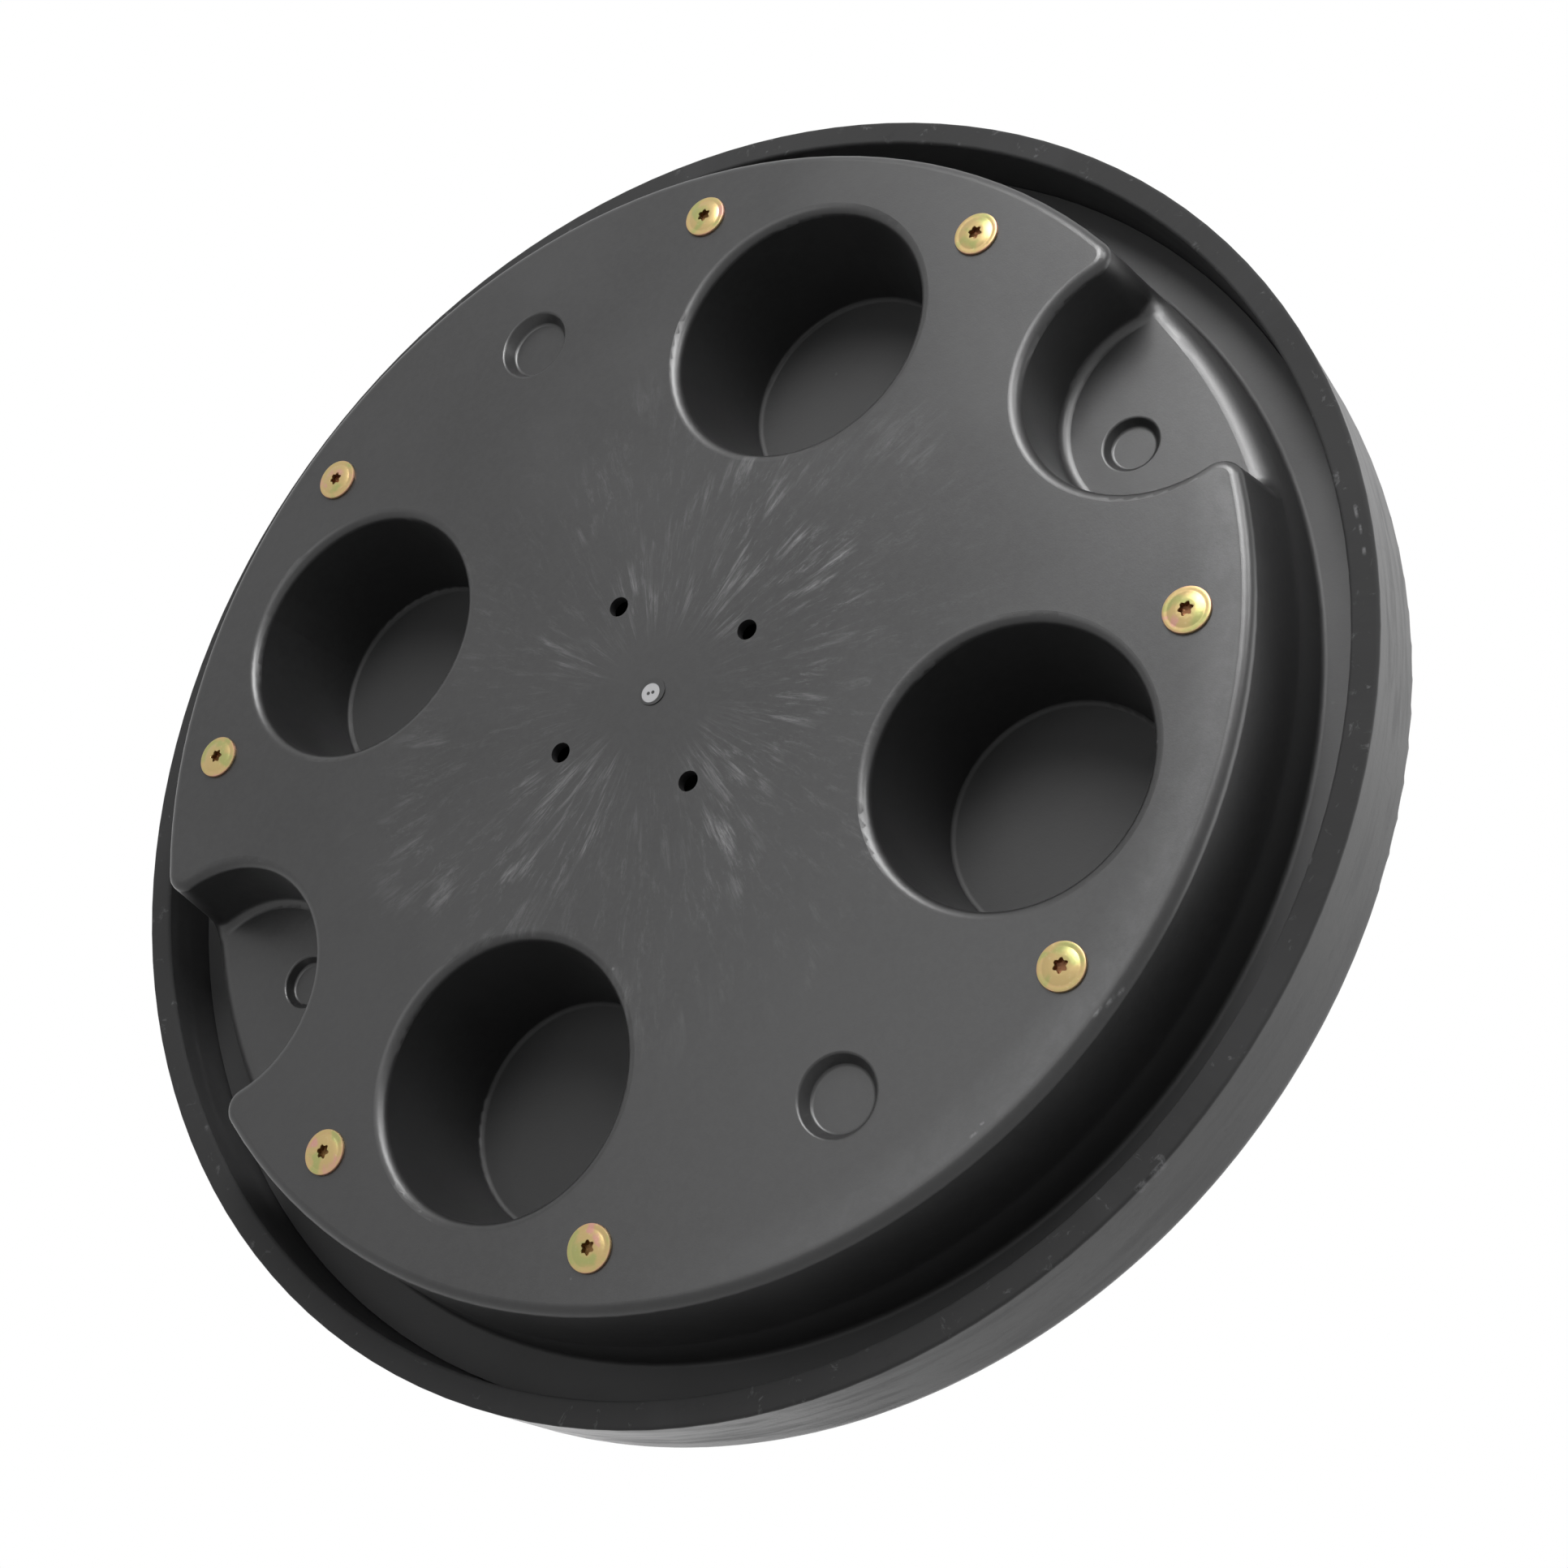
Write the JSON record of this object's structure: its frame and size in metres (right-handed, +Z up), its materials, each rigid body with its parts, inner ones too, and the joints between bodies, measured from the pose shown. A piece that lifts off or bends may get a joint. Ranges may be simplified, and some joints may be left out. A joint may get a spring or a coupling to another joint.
{
  "type": "manhole cover",
  "caption": "Round plastic manhole cover: treaded top with lifting pockets and a deep skirt over a screwed-in inner pan with cups and notches.",
  "frame": {"origin": "on the cover's axis, in the lowest plane of the screw heads on which the cover stands", "axes": "+Z up through the tread; the lifting pockets and the pan's notches lie on the X axis"},
  "size_m": [0.634, 0.634, 0.0958],
  "materials": {
    "tread_plastic": "black moulded plastic, satin, lightly scuffed",
    "pan_plastic": "black moulded plastic, satin, pale flow streaks round the centre",
    "screw_metal": "yellow zinc plated steel, glossy"
  },
  "bodies": {
    "root": {"cover": "tread_plastic", "inner_pan": "pan_plastic", "screw_1": "screw_metal", "screw_2": "screw_metal", "screw_3": "screw_metal", "screw_4": "screw_metal", "screw_5": "screw_metal", "screw_6": "screw_metal", "screw_7": "screw_metal", "screw_8": "screw_metal"}
  },
  "joints": []
}
